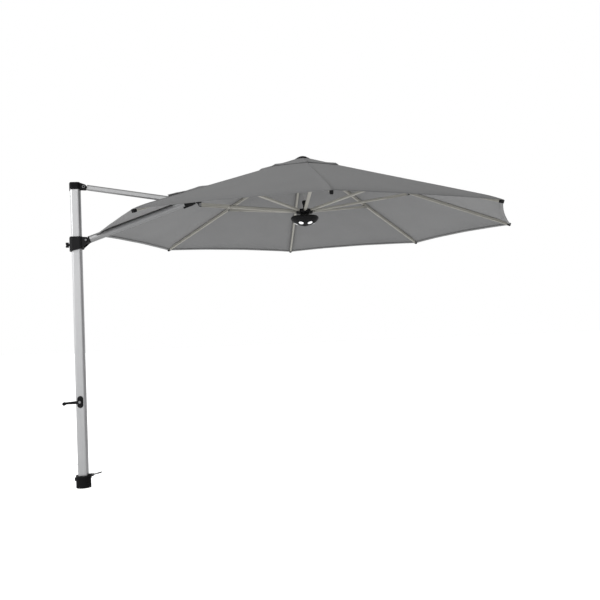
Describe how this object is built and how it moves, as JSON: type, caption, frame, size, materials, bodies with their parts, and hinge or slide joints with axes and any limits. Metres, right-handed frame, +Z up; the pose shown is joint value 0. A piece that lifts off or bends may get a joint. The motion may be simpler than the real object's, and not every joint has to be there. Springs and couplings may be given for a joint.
{
  "type": "cantilever parasol",
  "caption": "Cantilever parasol: floor-mounted turning mast with crank, sliding boom and upper arm, round canopy on hinged ribs and struts, lamp under the runner.",
  "frame": {"origin": "on the mast's axis at the underside of the base socket", "axes": "+Z up along the mast, +X from the mast towards the canopy"},
  "size_m": [3.728, 3.502, 2.624],
  "materials": {
    "black_plastic": "moulded, fine grain",
    "dark_plastic": "moulded, plain",
    "aluminium": "satin anodised",
    "grey_casting": "satin",
    "steel": "zinc plated",
    "rope": "braided",
    "canopy_fabric": "woven polyester",
    "putty_coat": "satin powder coat",
    "lens": "frosted"
  },
  "bodies": {
    "base": {"base_socket": "black_plastic", "base_bush": "dark_plastic"},
    "mast": {"mast_profile": "aluminium", "mast_foot": "black_plastic", "foot_pins": "steel", "mast_cap": "black_plastic", "arm_pin": "steel", "crank_plate": "black_plastic", "rope_mast": "rope"},
    "pedal": {"foot_pedal": "grey_casting"},
    "crank": {"winding_drum": "grey_casting", "crank_arm": "black_plastic"},
    "grip": {"crank_grip": "dark_plastic"},
    "slider": {"slider_body": "black_plastic", "slider_liner": "dark_plastic"},
    "knob": {"slider_knob": "black_plastic"},
    "upper_arm": {"arm_tube": "aluminium", "arm_head": "grey_casting", "arm_fork": "black_plastic", "rope_arm": "rope"},
    "boom": {"boom_tube": "aluminium", "boom_foot": "dark_plastic", "boom_nose": "grey_casting", "arm_bracket": "black_plastic", "strut_bracket": "black_plastic", "boom_bolts": "steel", "rope_boom": "rope", "arm_hood": "canopy_fabric"},
    "crown": {"crown_hub": "dark_plastic", "hub_pins": "steel", "crown_cap": "black_plastic", "vent_canopy": "canopy_fabric", "canopy": "canopy_fabric"},
    "rib_1": {"rib_1": "putty_coat", "rib_fittings_1": "black_plastic"},
    "rib_2": {"rib_2": "putty_coat", "rib_fittings_2": "black_plastic"},
    "rib_3": {"rib_3": "putty_coat", "rib_fittings_3": "black_plastic"},
    "rib_4": {"rib_4": "putty_coat", "rib_fittings_4": "black_plastic"},
    "rib_5": {"rib_5": "putty_coat", "rib_fittings_5": "black_plastic"},
    "rib_6": {"rib_6": "putty_coat", "rib_fittings_6": "black_plastic"},
    "rib_7": {"rib_7": "putty_coat", "rib_fittings_7": "black_plastic"},
    "strut_1": {"strut_1": "putty_coat"},
    "strut_2": {"strut_2": "putty_coat"},
    "strut_3": {"strut_3": "putty_coat"},
    "strut_4": {"strut_4": "putty_coat"},
    "strut_5": {"strut_5": "putty_coat"},
    "strut_6": {"strut_6": "putty_coat"},
    "strut_7": {"strut_7": "putty_coat"},
    "boom_strut": {"boom_strut": "putty_coat"},
    "runner": {"runner_hub": "black_plastic", "runner_pins": "steel", "cord_stem": "black_plastic", "lamp_body": "black_plastic", "lamp_lenses": "lens"}
  },
  "joints": [
    {"name": "mast_turn", "type": "hinge", "parent": "base", "child": "mast", "pos_m": [0, 0, 0], "axis": [0, 0, 1], "continuous": true},
    {"name": "pedal_press", "type": "hinge", "parent": "mast", "child": "pedal", "pos_m": [0.072, 0, 0.097], "axis": [0, 1, 0], "range_deg": [0, 12], "stiffness_Nm_per_rad": 3, "springref_deg": -5.73},
    {"name": "crank_turn", "type": "hinge", "parent": "mast", "child": "crank", "pos_m": [0, -0.05, 0.681], "axis": [0, 1, 0], "range_deg": [0, 3484]},
    {"name": "grip_spin", "type": "hinge", "parent": "crank", "child": "grip", "pos_m": [-0.112, -0.1, 0.677], "axis": [0, 1, 0], "continuous": true},
    {"name": "slider_travel", "type": "slide", "parent": "mast", "child": "slider", "axis": [0, 0, -1], "range_m": [0, 1.1465]},
    {"name": "knob_turn", "type": "hinge", "parent": "slider", "child": "knob", "pos_m": [-0.06, 0, 1.94], "axis": [1, 0, 0], "range_deg": [-540, 0]},
    {"name": "boom_fold", "type": "hinge", "parent": "mast", "child": "upper_arm", "pos_m": [0.072, 0, 2.4055], "axis": [0, 1, 0], "range_deg": [0, 55.67], "deforming": ["arm_hood"]},
    {"name": "boom_hinge", "type": "hinge", "parent": "upper_arm", "child": "boom", "pos_m": [0.91, 0, 2.26617], "axis": [0, 1, 0], "range_deg": [-102.84, 0]},
    {"name": "canopy_fold", "type": "hinge", "parent": "boom", "child": "crown", "pos_m": [1.807, 0, 2.583], "axis": [0, 1, 0], "range_deg": [0, 57.8], "deforming": ["canopy", "vent_canopy"]},
    {"name": "rib_1_hinge", "type": "hinge", "parent": "crown", "child": "rib_1", "pos_m": [1.82018, -0.03182, 2.583], "axis": [0.7071, -0.7071, 0], "range_deg": [0, 57.8]},
    {"name": "rib_2_hinge", "type": "hinge", "parent": "crown", "child": "rib_2", "pos_m": [1.852, -0.045, 2.583], "axis": [1, 0, 0], "range_deg": [0, 57.8]},
    {"name": "rib_3_hinge", "type": "hinge", "parent": "crown", "child": "rib_3", "pos_m": [1.88382, -0.03182, 2.583], "axis": [0.7071, 0.7071, 0], "range_deg": [0, 57.8]},
    {"name": "rib_4_hinge", "type": "hinge", "parent": "crown", "child": "rib_4", "pos_m": [1.897, 0, 2.583], "axis": [0, 1, 0], "range_deg": [0, 57.8]},
    {"name": "rib_5_hinge", "type": "hinge", "parent": "crown", "child": "rib_5", "pos_m": [1.88382, 0.03182, 2.583], "axis": [-0.7071, 0.7071, 0], "range_deg": [0, 57.8]},
    {"name": "rib_6_hinge", "type": "hinge", "parent": "crown", "child": "rib_6", "pos_m": [1.852, 0.045, 2.583], "axis": [-1, 0, 0], "range_deg": [0, 57.8]},
    {"name": "rib_7_hinge", "type": "hinge", "parent": "crown", "child": "rib_7", "pos_m": [1.82018, 0.03182, 2.583], "axis": [-0.7071, -0.7071, 0], "range_deg": [0, 57.8]},
    {"name": "runner_slide", "type": "slide", "parent": "crown", "child": "runner", "axis": [0, 0, -1], "range_m": [0, 1.2463]},
    {"name": "strut_1_hinge", "type": "hinge", "parent": "runner", "child": "strut_1", "pos_m": [1.81665, -0.03535, 2.165], "axis": [-0.7071, 0.7071, 0], "range_deg": [0, 68.71]},
    {"name": "strut_2_hinge", "type": "hinge", "parent": "runner", "child": "strut_2", "pos_m": [1.852, -0.05, 2.165], "axis": [-1, 0, 0], "range_deg": [0, 68.71]},
    {"name": "strut_3_hinge", "type": "hinge", "parent": "runner", "child": "strut_3", "pos_m": [1.88735, -0.03535, 2.165], "axis": [-0.7071, -0.7071, 0], "range_deg": [0, 68.71]},
    {"name": "strut_4_hinge", "type": "hinge", "parent": "runner", "child": "strut_4", "pos_m": [1.902, 0, 2.165], "axis": [0, -1, 0], "range_deg": [0, 68.71]},
    {"name": "strut_5_hinge", "type": "hinge", "parent": "runner", "child": "strut_5", "pos_m": [1.88735, 0.03535, 2.165], "axis": [0.7071, -0.7071, 0], "range_deg": [0, 68.71]},
    {"name": "strut_6_hinge", "type": "hinge", "parent": "runner", "child": "strut_6", "pos_m": [1.852, 0.05, 2.165], "axis": [1, 0, 0], "range_deg": [0, 68.71]},
    {"name": "strut_7_hinge", "type": "hinge", "parent": "runner", "child": "strut_7", "pos_m": [1.81665, 0.03535, 2.165], "axis": [0.7071, 0.7071, 0], "range_deg": [0, 68.71]},
    {"name": "boom_strut_hinge", "type": "hinge", "parent": "runner", "child": "boom_strut", "pos_m": [1.802, 0, 2.165], "axis": [0, 1, 0], "range_deg": [0, 74.98]}
  ],
  "couplings": [
    {"joint": "slider_travel", "follows": "boom_fold", "m_per_rad": 1.1794},
    {"joint": "boom_hinge", "follows": "boom_fold", "ratio": -1.847},
    {"joint": "crank_turn", "follows": "canopy_fold", "ratio": 60.26},
    {"joint": "rib_1_hinge", "follows": "canopy_fold", "ratio": 1},
    {"joint": "rib_2_hinge", "follows": "canopy_fold", "ratio": 1},
    {"joint": "rib_3_hinge", "follows": "canopy_fold", "ratio": 1},
    {"joint": "rib_4_hinge", "follows": "canopy_fold", "ratio": 1},
    {"joint": "rib_5_hinge", "follows": "canopy_fold", "ratio": 1},
    {"joint": "rib_6_hinge", "follows": "canopy_fold", "ratio": 1},
    {"joint": "rib_7_hinge", "follows": "canopy_fold", "ratio": 1},
    {"joint": "runner_slide", "follows": "canopy_fold", "m_per_rad": 1.2353},
    {"joint": "strut_1_hinge", "follows": "canopy_fold", "ratio": 1.1886},
    {"joint": "strut_2_hinge", "follows": "canopy_fold", "ratio": 1.1886},
    {"joint": "strut_3_hinge", "follows": "canopy_fold", "ratio": 1.1886},
    {"joint": "strut_4_hinge", "follows": "canopy_fold", "ratio": 1.1886},
    {"joint": "strut_5_hinge", "follows": "canopy_fold", "ratio": 1.1886},
    {"joint": "strut_6_hinge", "follows": "canopy_fold", "ratio": 1.1886},
    {"joint": "strut_7_hinge", "follows": "canopy_fold", "ratio": 1.1886},
    {"joint": "boom_strut_hinge", "follows": "canopy_fold", "ratio": 1.2972}
  ]
}
